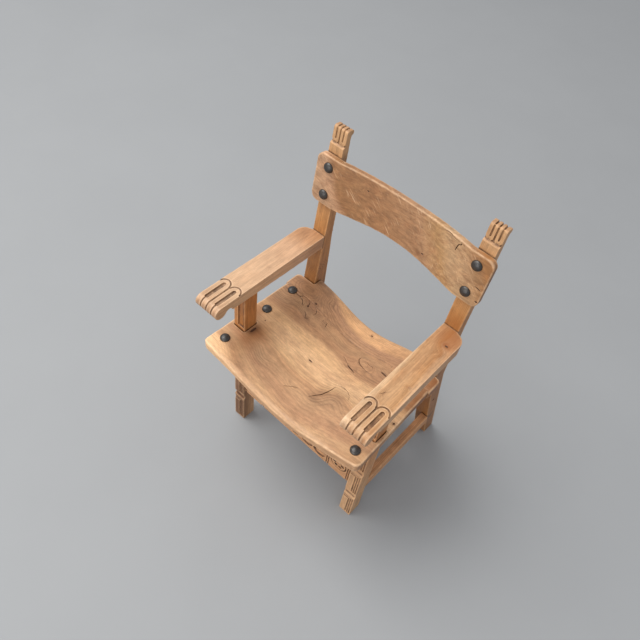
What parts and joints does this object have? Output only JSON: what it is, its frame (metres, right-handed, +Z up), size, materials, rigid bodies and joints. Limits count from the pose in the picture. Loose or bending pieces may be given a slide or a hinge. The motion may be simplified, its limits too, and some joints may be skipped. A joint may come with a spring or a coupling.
{
  "type": "wooden armchair",
  "caption": "Rustic wooden armchair with a dished seat of two boards, a bowed back plank bolted to raked posts, and flat arms that end in carved, rolled lobes.",
  "frame": {"origin": "on the floor, under the middle of the chair's whole box", "axes": "+X to the right of someone who stands in front of the chair and looks at it, +Y from the seat's front edge to the back, +Z up"},
  "size_m": [0.492, 0.4904, 0.869],
  "materials": {
    "frame_wood": "dry, lightly waxed solid wood with worn edges",
    "arm_wood": "solid wood polished by hands",
    "board_wood": "solid wood with swirling figure, satin",
    "bolt_iron": "darkened iron, slightly rubbed"
  },
  "bodies": {
    "root": {"front_post_left": "frame_wood", "front_post_right": "frame_wood", "back_post_left": "frame_wood", "back_post_right": "frame_wood", "arm_left": "arm_wood", "arm_right": "arm_wood", "seat_front_board": "board_wood", "seat_rear_board": "board_wood", "seat_dowels": "frame_wood", "back_plank": "board_wood", "seat_rail_left": "frame_wood", "seat_rail_right": "frame_wood", "front_stretcher": "frame_wood", "rear_stretcher": "frame_wood", "side_stretcher_left": "frame_wood", "side_stretcher_right": "frame_wood", "seat_bolts": "bolt_iron", "seat_washers": "bolt_iron", "seat_nuts": "bolt_iron", "back_bolts": "bolt_iron", "back_washers": "bolt_iron", "back_nuts": "bolt_iron"}
  },
  "joints": []
}
